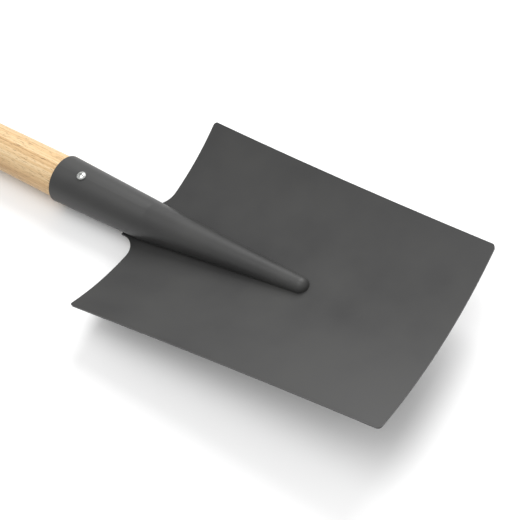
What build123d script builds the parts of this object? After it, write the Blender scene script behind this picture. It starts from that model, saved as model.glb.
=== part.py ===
from build123d import *
import os
from math import asin, atan, cos, radians, sin

# Garden digging spade: a pressed steel head on a tapered ash shaft, with a steel D-handle that holds
# a turned ash grip. It lies on its back, blade hollow side up, as it is put down on a bench.
# +X runs along the shaft towards the cutting edge, +Y across the blade and +Z up.
# The origin is under the middle of the tool, on the surface that it lies on. Sizes are millimetres.

os.makedirs("parts", exist_ok=True)

# ---- Driving dimensions ----

overall_length = 1000.0  # cutting edge to the back of the handle's cheeks

# Head: blade, nose and socket are one pressing of one sheet.
sheet = 1.8
blade_length = 264.5  # heel corners to cutting edge
heel_width = 195.0
tip_width = 158.4
waist = 1.3  # how far each side edge bows inwards at its middle
heel_dish = 23.7  # depth of the blade's hollow, across the heel corners
tip_dish = 12.6  # and across the tip corners
shoulder_rise = 4.7  # the heel edge runs back towards the socket by this much
corner_radius = 3.0
neck_radius = 18.0  # plan radius where the heel edge runs into the socket
blade_lift = 6.9  # angle of the blade to the shaft, degrees
axis_depth = 16.3  # the shaft axis passes this far under the heel corners

# Socket: a cone rolled shut around the shaft.
socket_length = 91.0  # from where the axis crosses the heel line
mouth_radius = 20.35
root_radius = 17.2  # at the heel line
seam_cut = 25.0  # the closed seam stops this far short of the heel line, on the back

# Nose: the socket's raised end, hollow behind.
# Each section has its distance from the heel, its radius and the height of its crest over the blade.
nose_sections = ((75.0, 11.5, 15.5), (145.0, 7.0, 7.5))

# Shaft
wood_gap = 0.2  # between the wood and the steel around it
shaft_inset = 6.0  # the wood stops this far short of the heel line
shaft_top_radius = 15.5
shaft_end_chamfer = 3.0

# Socket screw: pan head, cross recess
screw_setback = 24.7  # from the socket's mouth
screw_shank = 4.0
screw_length = 22.0
screw_head = 7.6
screw_head_height = 2.5
screw_head_edge = 0.9  # height of the straight rim under the dome
recess_width = 1.0
recess_span = 4.2
recess_depth = 1.6
screw_clearance = 0.2  # added to the screw's diameter in the socket and in the shaft's pilot hole

# D-handle: a steel yoke, which is a strap bent to a U and welded to the end of a swaged ferrule
ferrule_wall = 1.6
ferrule_length = 64.0
swage_length = 16.0  # where the ferrule narrows to meet the strap
swage_radius = 11.5
strap = 4.0
strap_width = 24.0
strap_flare = 14.0  # radius that runs the strap out into its round cheeks
cheek_radius = 20.0
cheek_span = 122.0  # outside one cheek to outside the other
hand_room = 74.0  # from the inside of the strap's crown to the middle of the grip

# Grip, and the bolt that holds it between the cheeks
grip_end_radius = 14.6
grip_middle_radius = 16.6
grip_rounding = 2.0
grip_gap = 0.3  # at each end
bolt_diameter = 8.0
bolt_clearance = 0.3  # on the diameter, in the grip and the cheeks
bolt_head = 18.0
bolt_head_height = 4.6
washer_diameter = 21.0
washer_thickness = 1.6
nut_width = 13.0  # across the flats
nut_height = 6.5
nut_dome_radius = 6.0
nut_thread_gap = 0.05  # stands for the thread, on the radius

# Rivet through the ferrule and the shaft
rivet_diameter = 5.0
rivet_clearance = 0.2
rivet_head = 10.0
rivet_head_height = 3.0
rivet_setback = 18.0  # from the mouth of the ferrule

# ---- Places worked out from them ----

lift = radians(blade_lift)
axis_height = max(mouth_radius, cheek_radius)
heel_x = overall_length / 2 - blade_length * cos(lift) - (tip_dish + sheet) * sin(lift)
cross_x = heel_x + axis_depth * sin(lift)  # where the shaft axis crosses the heel line
grip_x = cheek_radius - overall_length / 2

# Places along the shaft axis are distances from cross_x towards the handle.
grip_place = cross_x - grip_x
ferrule_end = grip_place - hand_room - strap
ferrule_mouth = ferrule_end - ferrule_length
swage_start = ferrule_end - swage_length
rivet_place = ferrule_mouth + rivet_setback
screw_place = socket_length - screw_setback
socket_slope = (mouth_radius - root_radius) / socket_length
mouth_fit = mouth_radius - sheet - wood_gap  # the shaft's radius at the socket's mouth
ferrule_radius = shaft_top_radius + wood_gap + ferrule_wall
cheek_face = cheek_span / 2
grip_half = cheek_face - strap - grip_gap
bolt_end = cheek_face + washer_thickness + nut_height

blade_plane = Plane(
    origin=(heel_x, 0, axis_height + axis_depth * cos(lift)),
    x_dir=(cos(lift), 0, sin(lift)),
    z_dir=(-sin(lift), 0, cos(lift)),
)
axis_start = (cross_x, 0, axis_height)
shaft_axis = Axis(axis_start, (-1, 0, 0))
side_plane = Plane(origin=axis_start, x_dir=(-1, 0, 0), z_dir=(0, 1, 0))
plan_plane = Plane(origin=axis_start, x_dir=(-1, 0, 0), z_dir=(0, 0, -1))
cross_plane = Plane(origin=axis_start, x_dir=(0, -1, 0), z_dir=(-1, 0, 0))
grip_axis = Axis((grip_x, 0, axis_height), (0, 1, 0))
grip_side_plane = Plane(origin=(grip_x, 0, axis_height), x_dir=(0, 1, 0), z_dir=(1, 0, 0))
bolt_plane = Plane(origin=(grip_x, 0, axis_height), x_dir=(1, 0, 0), z_dir=(0, 1, 0))
rivet_plane = Plane(origin=(cross_x - rivet_place, 0, axis_height), x_dir=(1, 0, 0), z_dir=(0, 1, 0))
rivet_side_plane = Plane(origin=rivet_plane.origin, x_dir=(0, 1, 0), z_dir=(1, 0, 0))


def outer_radius(distance):
    """Outside radius of the socket, at a distance along the shaft axis."""
    return root_radius + socket_slope * distance


screw_seat = (cross_x - screw_place, 0, axis_height + outer_radius(screw_place))
screw_tilt = atan(socket_slope)
screw_plane = Plane(origin=screw_seat, x_dir=(0, 1, 0), z_dir=(sin(screw_tilt), 0, cos(screw_tilt)))
screw_side_plane = Plane(
    origin=screw_seat, x_dir=(cos(screw_tilt), 0, -sin(screw_tilt)), z_dir=(0, -1, 0)
)


def cap_middle(radius, height):
    """Height and radius of the point halfway up the arc of a domed head."""
    sphere = (radius**2 + height**2) / (2 * height)
    angle = asin(radius / sphere) / 2
    return height - sphere + sphere * cos(angle), sphere * sin(angle)


def half_width(distance):
    """Half the blade's width at a distance from the heel."""
    return (heel_width + (tip_width - heel_width) * distance / blade_length) / 2


def dish(distance):
    """Depth of the blade's hollow at a distance from the heel."""
    return heel_dish + (tip_dish - heel_dish) * distance / blade_length


def across(distance):
    """Plane square to the blade at a distance from the heel, with X across and Y up."""
    return Plane(
        origin=blade_plane.from_local_coords((distance, 0, 0)),
        x_dir=(0, 1, 0),
        z_dir=blade_plane.x_dir,
    )


def dish_section(distance, ceiling=None):
    """Closed section across the dish: the sheet, or all above its back up to a ceiling."""
    depth = dish(distance)
    radius = (half_width(distance) ** 2 + depth**2) / (2 * depth)
    reach = 1.15 * asin(half_width(distance) / radius)
    centre = radius - depth
    back = radius + sheet

    def on_arc(size, angle):
        return (size * sin(angle), centre - size * cos(angle))

    with BuildSketch(across(distance)) as section:
        with BuildLine():
            ThreePointArc(on_arc(back, -reach), on_arc(back, 0), on_arc(back, reach))
            if ceiling is None:
                Line(on_arc(back, reach), on_arc(radius, reach))
                ThreePointArc(on_arc(radius, reach), on_arc(radius, 0), on_arc(radius, -reach))
                Line(on_arc(radius, -reach), on_arc(back, -reach))
            else:
                right, left = on_arc(back, reach), on_arc(back, -reach)
                Polyline(right, (right[0], ceiling), (left[0], ceiling), left)
        make_face()
    return section.sketch


def nose_height(distance, radius, crest):
    """Height of a nose section's centre in the blade's plane."""
    return crest - dish(distance) - radius


def above_sheet(start, end):
    """All that is above the back of the sheet, between two distances from the heel."""
    ceiling = 3 * root_radius
    with BuildPart() as space:
        add(dish_section(start, ceiling))
        add(dish_section(end, ceiling))
        loft(ruled=True)
    return space.part


def nose_solid(wall):
    """The raised nose as a closed solid, smaller all round by wall."""
    distance, radius, crest = nose_sections[-1]
    tip = blade_plane.from_local_coords((distance, 0, nose_height(distance, radius, crest)))
    with BuildPart() as nose:
        with BuildSketch(cross_plane):
            Circle(root_radius - wall)
        for distance, radius, crest in nose_sections:
            with BuildSketch(across(distance)):
                with Locations((0, nose_height(distance, radius, crest))):
                    Circle(radius - wall)
        loft()
        with Locations(tip):
            Sphere(radius - wall)
    return nose.part


def socket_solid(wall, start, end):
    """A stretch of the socket's cone as a closed solid, smaller all round by wall."""
    with BuildPart() as cone:
        with BuildSketch(side_plane):
            with BuildLine():
                Polyline(
                    (start, 0),
                    (start, outer_radius(start) - wall),
                    (end, outer_radius(end) - wall),
                    (end, 0),
                    close=True,
                )
            make_face()
        revolve(axis=shaft_axis)
    return cone.part


# ---- Head ----

neck_back = -(neck_radius + shoulder_rise)

with BuildPart() as blade:
    add(dish_section(neck_back))
    add(dish_section(blade_length))
    loft(ruled=True)
    with BuildSketch(blade_plane) as outline:
        heel, tip = (0, heel_width / 2), (blade_length, tip_width / 2)
        middle = (blade_length / 2, (heel_width + tip_width) / 4 - waist)
        shoulder = (-shoulder_rise * (1 - root_radius / heel[1]), root_radius)
        with BuildLine():
            Line((blade_length, 0), tip)
            ThreePointArc(tip, middle, heel)
            Polyline(heel, shoulder, (neck_back, root_radius), (neck_back, 0))
            mirror(about=Plane.XZ)
        make_face()
        fillet(outline.vertices().filter_by(lambda vertex: abs(vertex.Y) > tip[1] / 2), corner_radius)
        necks = outline.vertices().filter_by(lambda vertex: abs(vertex.Y) < tip[1] / 2)
        fillet(necks.sort_by(Axis.X)[-2:], neck_radius)
    extrude(amount=4 * heel_dish, both=True, mode=Mode.INTERSECT)

# The socket's seam is open near the blade, where the sheet has spread out into the blade.
with BuildPart() as socket:
    add(socket_solid(0, 0, socket_length))
    with BuildSketch(side_plane):
        top, bottom = outer_radius(0), -outer_radius(seam_cut)
        with BuildLine():
            Polyline((0, top), (seam_cut, bottom), (seam_cut, 2 * bottom), (-1, 2 * bottom), (-1, top))
            Line((-1, top), (0, top))
        make_face()
    extrude(amount=2 * mouth_radius, both=True, mode=Mode.SUBTRACT)

with BuildPart() as nose:
    add(nose_solid(0))
    add(socket_solid(0, 0, seam_cut))
    add(above_sheet(-seam_cut, blade_length), mode=Mode.INTERSECT)

with BuildPart() as head:
    add(blade.part)
    add(socket.part)
    add(nose.part)
    add(nose_solid(sheet), mode=Mode.SUBTRACT)
    add(socket_solid(sheet, 0, socket_length), mode=Mode.SUBTRACT)
    with BuildSketch(screw_plane):
        Circle((screw_shank + screw_clearance) / 2)
    extrude(amount=-2 * sheet, both=True, mode=Mode.SUBTRACT)

head.part.label = "head"
export_step(head.part, "parts/head.step")

# ---- Shaft ----

# Its lower end is turned to the socket's cone and its upper end to the ferrule's bore.
with BuildPart() as shaft:
    foot = shaft_inset
    top = swage_start - grip_gap
    foot_radius = outer_radius(foot) - sheet - wood_gap
    with BuildSketch(side_plane):
        with BuildLine():
            Polyline(
                (foot, 0),
                (foot, foot_radius - shaft_end_chamfer),
                (foot + shaft_end_chamfer, outer_radius(foot + shaft_end_chamfer) - sheet - wood_gap),
                (socket_length, mouth_fit),
                (ferrule_mouth, shaft_top_radius),
                (top, shaft_top_radius),
                (top, 0),
                close=True,
            )
        make_face()
    revolve(axis=shaft_axis)
    with BuildSketch(screw_plane):
        Circle((screw_shank + screw_clearance) / 2)
    extrude(amount=-screw_length - screw_clearance, mode=Mode.SUBTRACT)
    with BuildSketch(rivet_plane):
        Circle((rivet_diameter + rivet_clearance) / 2)
    extrude(amount=2 * shaft_top_radius, both=True, mode=Mode.SUBTRACT)

shaft.part.label = "shaft"
export_step(shaft.part, "parts/shaft.step")

# ---- Socket screw ----

with BuildPart() as socket_screw:
    with BuildSketch(screw_side_plane):
        with BuildLine():
            point = screw_shank / 2
            Polyline(
                (0, screw_head_height),
                (0, -screw_length),
                (point, point - screw_length),
                (point, 0),
                (screw_head / 2, 0),
                (screw_head / 2, screw_head_edge),
            )
            middle = cap_middle(screw_head / 2, screw_head_height - screw_head_edge)
            ThreePointArc(
                (screw_head / 2, screw_head_edge),
                (middle[1], screw_head_edge + middle[0]),
                (0, screw_head_height),
            )
        make_face()
    revolve(axis=Axis(screw_plane.origin, screw_plane.z_dir))
    with BuildSketch(screw_plane.offset(screw_head_height)):
        Rectangle(recess_span, recess_width)
        Rectangle(recess_width, recess_span)
    extrude(amount=-recess_depth, mode=Mode.SUBTRACT)

socket_screw.part.label = "socket_screw"
export_step(socket_screw.part, "parts/socket_screw.step")

# ---- Handle yoke ----

with BuildPart() as handle_yoke:
    bore = shaft_top_radius + wood_gap
    bend = cheek_face - strap
    bend_place = ferrule_end + strap + bend
    with BuildSketch(plan_plane):
        with BuildLine():
            Line((grip_place + cheek_radius, cheek_face), (bend_place, cheek_face))
            ThreePointArc((bend_place, cheek_face), (ferrule_end, 0), (bend_place, -cheek_face))
            Line((bend_place, -cheek_face), (grip_place + cheek_radius, -cheek_face))
            Line((grip_place + cheek_radius, -cheek_face), (grip_place + cheek_radius, -bend))
            Line((grip_place + cheek_radius, -bend), (bend_place, -bend))
            ThreePointArc((bend_place, -bend), (ferrule_end + strap, 0), (bend_place, bend))
            Line((bend_place, bend), (grip_place + cheek_radius, bend))
            Line((grip_place + cheek_radius, bend), (grip_place + cheek_radius, cheek_face))
        make_face()
    extrude(amount=cheek_radius, both=True)
    with BuildSketch(side_plane) as profile:
        with Locations(((ferrule_end + grip_place) / 2, 0)):
            Rectangle(grip_place - ferrule_end, strap_width)
        with Locations((grip_place, 0)):
            Circle(cheek_radius)
        joins = profile.vertices().filter_by(lambda vertex: abs(abs(vertex.Y) - strap_width / 2) < 0.01)
        fillet(joins.sort_by(Axis.X)[-2:], strap_flare)
    extrude(amount=cheek_face, both=True, mode=Mode.INTERSECT)
    with BuildSketch(side_plane):
        with BuildLine():
            Polyline(
                (ferrule_mouth, bore),
                (ferrule_mouth, ferrule_radius),
                (swage_start, ferrule_radius),
                (ferrule_end + strap / 2, swage_radius),
                (ferrule_end + strap / 2, 0),
                (ferrule_end, 0),
                (ferrule_end, swage_radius - ferrule_wall),
                (swage_start, bore),
                close=True,
            )
        make_face()
    revolve(axis=shaft_axis)
    with BuildSketch(rivet_plane):
        Circle((rivet_diameter + rivet_clearance) / 2)
    extrude(amount=2 * ferrule_radius, both=True, mode=Mode.SUBTRACT)
    with BuildSketch(bolt_plane):
        Circle((bolt_diameter + bolt_clearance) / 2)
    extrude(amount=cheek_span, both=True, mode=Mode.SUBTRACT)

handle_yoke.part.label = "handle_yoke"
export_step(handle_yoke.part, "parts/handle_yoke.step")

# ---- Grip ----

with BuildPart() as grip:
    with BuildSketch(grip_side_plane) as turning:
        hole = (bolt_diameter + bolt_clearance) / 2
        with BuildLine():
            Line((-grip_half, grip_end_radius), (-grip_half, hole))
            Line((-grip_half, hole), (grip_half, hole))
            Line((grip_half, hole), (grip_half, grip_end_radius))
            ThreePointArc(
                (grip_half, grip_end_radius), (0, grip_middle_radius), (-grip_half, grip_end_radius)
            )
        make_face()
        fillet(turning.vertices().sort_by(Axis.Z)[-2:], grip_rounding)
    revolve(axis=grip_axis)

grip.part.label = "grip"
export_step(grip.part, "parts/grip.step")

# ---- Bolt through the grip ----

with BuildPart() as grip_bolt:
    seat = cheek_face + washer_thickness
    with BuildSketch(grip_side_plane):
        with BuildLine():
            Line((seat + bolt_head_height, 0), (-bolt_end, 0))
            Polyline(
                (-bolt_end, 0),
                (-bolt_end, bolt_diameter / 2),
                (seat, bolt_diameter / 2),
                (seat, bolt_head / 2),
            )
            middle = cap_middle(bolt_head / 2, bolt_head_height)
            ThreePointArc(
                (seat, bolt_head / 2), (seat + middle[0], middle[1]), (seat + bolt_head_height, 0)
            )
        make_face()
    revolve(axis=grip_axis)

grip_bolt.part.label = "grip_bolt"
export_step(grip_bolt.part, "parts/grip_bolt.step")

with BuildPart() as grip_washers:
    for side in (-1, 1):
        with BuildSketch(bolt_plane.offset(side * cheek_face)):
            Circle(washer_diameter / 2)
            Circle((bolt_diameter + bolt_clearance) / 2, mode=Mode.SUBTRACT)
        extrude(amount=side * washer_thickness)

grip_washers.part.label = "grip_washers"
export_step(grip_washers.part, "parts/grip_washers.step")

with BuildPart() as grip_nut:
    seat_plane = bolt_plane.offset(-cheek_face - washer_thickness)
    with BuildSketch(seat_plane):
        RegularPolygon(nut_width / 2, 6, major_radius=False)
    extrude(amount=-nut_height)
    with Locations(seat_plane.offset(-nut_height)):
        Sphere(nut_dome_radius)
    with BuildSketch(seat_plane):
        Circle(nut_width)
    extrude(amount=nut_dome_radius, mode=Mode.SUBTRACT)
    with BuildSketch(seat_plane):
        Circle(bolt_diameter / 2 + nut_thread_gap)
    extrude(amount=-nut_height - nut_thread_gap, mode=Mode.SUBTRACT)

grip_nut.part.label = "grip_nut"
export_step(grip_nut.part, "parts/grip_nut.step")

# ---- Ferrule rivet ----

with BuildPart() as ferrule_rivet:
    with BuildSketch(rivet_side_plane):
        with BuildLine():
            Line((-ferrule_radius - rivet_head_height, 0), (ferrule_radius + rivet_head_height, 0))
            rise, radius = cap_middle(rivet_head / 2, rivet_head_height)
            for side in (-1, 1):
                face = side * ferrule_radius
                crown = face + side * rivet_head_height
                ThreePointArc((crown, 0), (face + side * rise, radius), (face, rivet_head / 2))
                Line((face, rivet_head / 2), (face, rivet_diameter / 2))
            Line((-ferrule_radius, rivet_diameter / 2), (ferrule_radius, rivet_diameter / 2))
        make_face()
    revolve(axis=Axis(rivet_plane.origin, (0, 1, 0)))

ferrule_rivet.part.label = "ferrule_rivet"
export_step(ferrule_rivet.part, "parts/ferrule_rivet.step")
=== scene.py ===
from math import asin, atan, cos, pi, radians, sin, sqrt, tan

import bmesh
import bpy
import numpy as np
from mathutils import Matrix, Vector


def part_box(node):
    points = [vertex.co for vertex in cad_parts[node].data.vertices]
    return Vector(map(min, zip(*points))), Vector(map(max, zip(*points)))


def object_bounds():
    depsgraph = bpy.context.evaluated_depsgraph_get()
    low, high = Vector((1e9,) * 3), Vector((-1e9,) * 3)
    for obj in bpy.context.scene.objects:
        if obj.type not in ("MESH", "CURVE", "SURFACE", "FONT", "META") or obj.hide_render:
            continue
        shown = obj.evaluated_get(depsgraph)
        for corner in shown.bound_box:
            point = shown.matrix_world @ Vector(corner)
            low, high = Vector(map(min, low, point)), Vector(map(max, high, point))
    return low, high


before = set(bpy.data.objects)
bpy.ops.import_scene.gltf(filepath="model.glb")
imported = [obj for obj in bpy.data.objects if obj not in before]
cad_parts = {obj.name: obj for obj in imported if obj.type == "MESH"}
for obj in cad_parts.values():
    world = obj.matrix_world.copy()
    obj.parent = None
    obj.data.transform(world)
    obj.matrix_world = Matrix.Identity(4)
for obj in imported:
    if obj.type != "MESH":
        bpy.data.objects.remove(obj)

cad_low, cad_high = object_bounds()
MM = 0.001


# ---- Camera ----
# The view is from the cutting edge's side, a little over the spade, with a short telephoto lens.

aim = Vector((0.3397, 0.0071, 0.030))
toward_camera = Vector((0.40749, -0.36635, 0.83703))
camera_distance = 0.8671
camera_roll = radians(-16.85)

camera_data = bpy.data.cameras.new("camera")
camera_data.lens = 79.6
camera_data.sensor_width = 36.0
camera = bpy.data.objects.new("camera", camera_data)
camera.location = aim + toward_camera.normalized() * camera_distance
upright = toward_camera.to_track_quat("Z", "Y").to_matrix()
camera.rotation_euler = (upright @ Matrix.Rotation(camera_roll, 3, "Z")).to_euler()
bpy.context.collection.objects.link(camera)
bpy.context.scene.camera = camera


# ---- Head ----
# One pressing of medium-carbon steel sheet: a dished blade, whose middle rises into a hollow nose,
# and a socket rolled shut round the shaft. Coated in matt black powder after forming.

blade_length = 264.5 * MM
heel_half = 97.5 * MM
tip_half = 79.2 * MM
waist = 1.3 * MM
heel_dish = 23.7 * MM
tip_dish = 12.6 * MM
shoulder_rise = 4.7 * MM
corner_radius = 3.0 * MM
neck_radius = 18.0 * MM
blade_lift = radians(6.9)
axis_depth = 16.3 * MM
sheet = 1.8 * MM
socket_length = 91.0 * MM
mouth_radius = 20.35 * MM
root_radius = 17.2 * MM
seam_cut = 25.0 * MM

axis_height = (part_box("shaft")[0][2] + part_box("shaft")[1][2]) / 2
heel_x = cad_high[0] - blade_length * cos(blade_lift) - (tip_dish + sheet) * sin(blade_lift)
heel_z = axis_height + axis_depth * cos(blade_lift)

# The nose at a few distances from the heel corners: its radius, the height of its crest over the
# blade, and the radius of the fillet at its foot.
nose_places = np.array((-30.0, 0.0, 35.0, 75.0, 110.0, 145.0)) * MM
nose_radii = np.array((18.2, 17.2, 14.7, 11.6, 9.2, 7.0)) * MM
nose_crests = np.array((31.0, 24.8, 19.7, 14.8, 11.0, 7.6)) * MM
foot_radii = np.array((8.0, 9.5, 9.0, 8.0, 7.0, 6.0)) * MM
nose_end = 161.0 * MM


def smooth_curve(places, values):
    """A smooth curve through a few points, as a function: a natural cubic spline."""
    step = np.diff(places)
    count = len(places)
    matrix = np.eye(count)
    right = np.zeros(count)
    for i in range(1, count - 1):
        matrix[i, i - 1 : i + 2] = step[i - 1], 2 * (step[i - 1] + step[i]), step[i]
        slope_change = (values[i + 1] - values[i]) / step[i] - (values[i] - values[i - 1]) / step[i - 1]
        right[i] = 6 * slope_change
    bend = np.linalg.solve(matrix, right)

    def curve(place):
        i = np.clip(np.searchsorted(places, place) - 1, 0, count - 2)
        a, b = places[i + 1] - place, place - places[i]
        h = step[i]
        line = (values[i] / h - bend[i] * h / 6) * a + (values[i + 1] / h - bend[i + 1] * h / 6) * b
        return line + (bend[i] * a**3 + bend[i + 1] * b**3) / (6 * h)

    return curve


nose_radius = smooth_curve(nose_places, nose_radii)
nose_crest = smooth_curve(nose_places, nose_crests)
foot_radius = smooth_curve(nose_places, foot_radii)


def half_width(u):
    return heel_half + (tip_half - heel_half) * u / blade_length


def side_edge(u):
    """Half width at the edge itself, which is a little waisted."""
    t = np.clip(u / blade_length, 0, 1)
    return half_width(u) - 4 * waist * t * (1 - t)


def dish(u):
    return heel_dish + (tip_dish - heel_dish) * u / blade_length


def sheet_height(u, v):
    """The dished face, below the plane of the blade's corners."""
    radius = (half_width(u) ** 2 + dish(u) ** 2) / (2 * dish(u))
    return radius - dish(u) - np.sqrt(radius**2 - v**2)


def nose_foot(u):
    """Half width of the nose at the outer end of its fillet."""
    r, h, f = nose_radius(u), nose_crest(u), foot_radius(u)
    return np.sqrt(np.maximum(h * (2 * (r + f) - h), 0))


def nose_rise(u, s):
    """Height of the nose over the valley of the blade, at distance s from its middle line."""
    r, h, f = nose_radius(u), nose_crest(u), foot_radius(u)
    foot = nose_foot(u)
    turn = r * foot / (r + f)
    crown = h - r + np.sqrt(np.maximum(r**2 - np.minimum(s, turn) ** 2, 0))
    fillet = f - np.sqrt(np.maximum(f**2 - np.clip(foot - s, 0, f) ** 2, 0))
    return np.where(s < turn, crown, np.where(s < foot, fillet, 0))


def linear(colour):
    """An sRGB hex colour as linear red, green, blue and alpha."""
    channels = [int(colour[i : i + 2], 16) / 255 for i in (0, 2, 4)]
    return (*(c / 12.92 if c <= 0.04045 else ((c + 0.055) / 1.055) ** 2.4 for c in channels), 1.0)


def new_material(name):
    """A material with its output and Principled shader, and nothing else."""
    material = bpy.data.materials.new(name)
    material.use_nodes = True
    tree = material.node_tree
    tree.nodes.clear()
    shader = add(tree, "BsdfPrincipled", {})
    add(tree, "OutputMaterial", {"Surface": shader.outputs["BSDF"]})
    return material, tree, shader


def add(tree, kind, inputs, **settings):
    """A shader node with its settings, and each input linked from a socket or set to a value."""
    node = tree.nodes.new("ShaderNode" + kind)
    for setting, value in settings.items():
        setattr(node, setting, value)
    connect(tree, node, inputs)
    return node


def connect(tree, node, inputs):
    for name, value in inputs.items():
        if isinstance(value, bpy.types.NodeSocket):
            tree.links.new(value, node.inputs[name])
        else:
            node.inputs[name].default_value = value


def ramp(tree, factor, stops):
    """A colour ramp through stops of (place, colour)."""
    node = add(tree, "ValToRGB", {"Fac": factor})
    elements = node.color_ramp.elements
    while len(elements) < len(stops):
        elements.new(0.5)
    for element, (place, colour) in zip(elements, stops):
        element.position, element.color = place, linear(colour)
    return node.outputs["Color"]


def dress(name, material):
    """Puts a material on every slot of a CAD node."""
    for material_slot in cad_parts[name].material_slots:
        material_slot.material = material


# Matt black polyester powder, sprayed and baked: a fine orange-peel texture breaks up every
# highlight, and the coat is thinner and greyer where hands and soil have rubbed it.
powder_peel = 0.9 * MM
rub_patch = 45.0 * MM

powder_coat, tree, shader = new_material("black_powder_coat")
place = add(tree, "TexCoord", {}).outputs["Object"]
peel = add(tree, "TexNoise", {"Vector": place, "Scale": 1 / powder_peel, "Detail": 3.0})
rub = add(tree, "TexNoise", {"Vector": place, "Scale": 1 / rub_patch, "Detail": 5.0})
bump = add(tree, "Bump", {"Height": peel.outputs["Fac"], "Strength": 0.25, "Distance": 0.06 * MM})
coat_roughness = add(
    tree, "MapRange", {"Value": rub.outputs["Fac"], "From Min": 0.3, "From Max": 0.7,
                       "To Min": 0.42, "To Max": 0.54}
)
connect(tree, shader, {
    "Base Color": ramp(tree, rub.outputs["Fac"], ((0.3, "2B2B2B"), (0.7, "343433"))),
    "Roughness": coat_roughness.outputs["Result"],
    "Normal": bump.outputs["Normal"],
})
dress("head", powder_coat)
dress("handle_yoke", powder_coat)


# ---- Shaft and grip ----
# Turned ash, sanded and oiled. Growth rings run along the wood as darker streaks, and its open
# pores are short dark dashes.

grain_width = 2.6 * MM
grain_run = 160.0 * MM
pore_width = 0.35 * MM
pore_run = 7.0 * MM


def ash_wood(name, along):
    """Ash whose grain runs along X (0) or Y (1)."""
    material, tree, shader = new_material(name)
    place = add(tree, "TexCoord", {}).outputs["Object"]

    def streaks(width, run, detail):
        scale = [1 / width] * 3
        scale[along] = 1 / run
        stretched = add(tree, "Mapping", {"Vector": place, "Scale": scale})
        noise = add(tree, "TexNoise", {
            "Vector": stretched.outputs["Vector"], "Scale": 1.0, "Detail": detail
        })
        return noise.outputs["Fac"]

    grain = streaks(grain_width, grain_run, 4.0)
    pores = streaks(pore_width, pore_run, 1.0)
    wood = ramp(tree, grain, ((0.3, "B08A5C"), (0.5, "CFAE80"), (0.7, "DDC298")))
    dashes = ramp(tree, pores, ((0.3, "6E5338"), (0.4, "FFFFFF")))
    mixed = add(tree, "Mix", {}, data_type="RGBA", blend_type="MULTIPLY")
    mixed.inputs[0].default_value = 0.8
    tree.links.new(wood, mixed.inputs[6])
    tree.links.new(dashes, mixed.inputs[7])
    bump = add(tree, "Bump", {"Height": pores, "Strength": 0.3, "Distance": 0.1 * MM})
    connect(tree, shader, {
        "Base Color": mixed.outputs[2], "Roughness": 0.5, "Normal": bump.outputs["Normal"]
    })
    return material


dress("shaft", ash_wood("oiled_ash_shaft", 0))
dress("grip", ash_wood("oiled_ash_grip", 1))


# ---- Fixings ----
# Socket screw, grip bolt with its washers and domed nut, and the ferrule's rivet: steel,
# electroplated with bright zinc, with fine scuffs from the tools that drove them.

scuff = 1.2 * MM

zinc, tree, shader = new_material("bright_zinc_plate")
place = add(tree, "TexCoord", {}).outputs["Object"]
scuffs = add(tree, "TexNoise", {"Vector": place, "Scale": 1 / scuff, "Detail": 6.0})
scuff_roughness = add(
    tree, "MapRange", {"Value": scuffs.outputs["Fac"], "To Min": 0.16, "To Max": 0.42}
)
connect(tree, shader, {
    "Base Color": ramp(tree, scuffs.outputs["Fac"], ((0.3, "BFC1C0"), (0.7, "DADBD8"))),
    "Metallic": 1.0,
    "Roughness": scuff_roughness.outputs["Result"],
})
for name in ("socket_screw", "grip_bolt", "grip_washers", "grip_nut", "ferrule_rivet"):
    dress(name, zinc)


# ---- Floor and light ----
# A pale, slightly glossy studio floor under soft light, with a lit backdrop colour all round.

floor_size = 12.0

floor_mesh = bpy.data.meshes.new("floor")
corner = floor_size / 2
floor_mesh.from_pydata(
    [(x, y, 0.0) for x, y in ((-corner, -corner), (corner, -corner), (corner, corner), (-corner, corner))],
    [], [(0, 1, 2, 3)],
)
floor = bpy.data.objects.new("floor", floor_mesh)
bpy.context.collection.objects.link(floor)
floor_paint, tree, shader = new_material("pale_studio_floor")
connect(tree, shader, {"Base Color": linear("F4F4F4"), "Roughness": 0.35})
floor_mesh.materials.append(floor_paint)


def softbox(name, place, target, size, watts):
    light = bpy.data.lights.new(name, "AREA")
    light.shape, light.size, light.energy = "SQUARE", size, watts
    lamp = bpy.data.objects.new(name, light)
    lamp.location = place
    lamp.rotation_euler = (Vector(target) - Vector(place)).to_track_quat("-Z", "Y").to_euler()
    bpy.context.collection.objects.link(lamp)


blade_middle = (heel_x + blade_length / 2, 0.0, heel_z)
softbox("key", (0.1, 1.6, 1.5), blade_middle, 1.2, 32.0)
softbox("top", (0.2, -0.2, 2.4), blade_middle, 1.6, 22.0)

world = bpy.data.worlds.new("studio")
world.use_nodes = True
background = world.node_tree.nodes["Background"]
background.inputs["Color"].default_value = linear("FFFFFF")
background.inputs["Strength"].default_value = 0.75
bpy.context.scene.world = world
bpy.context.scene.view_settings.view_transform = "Standard"
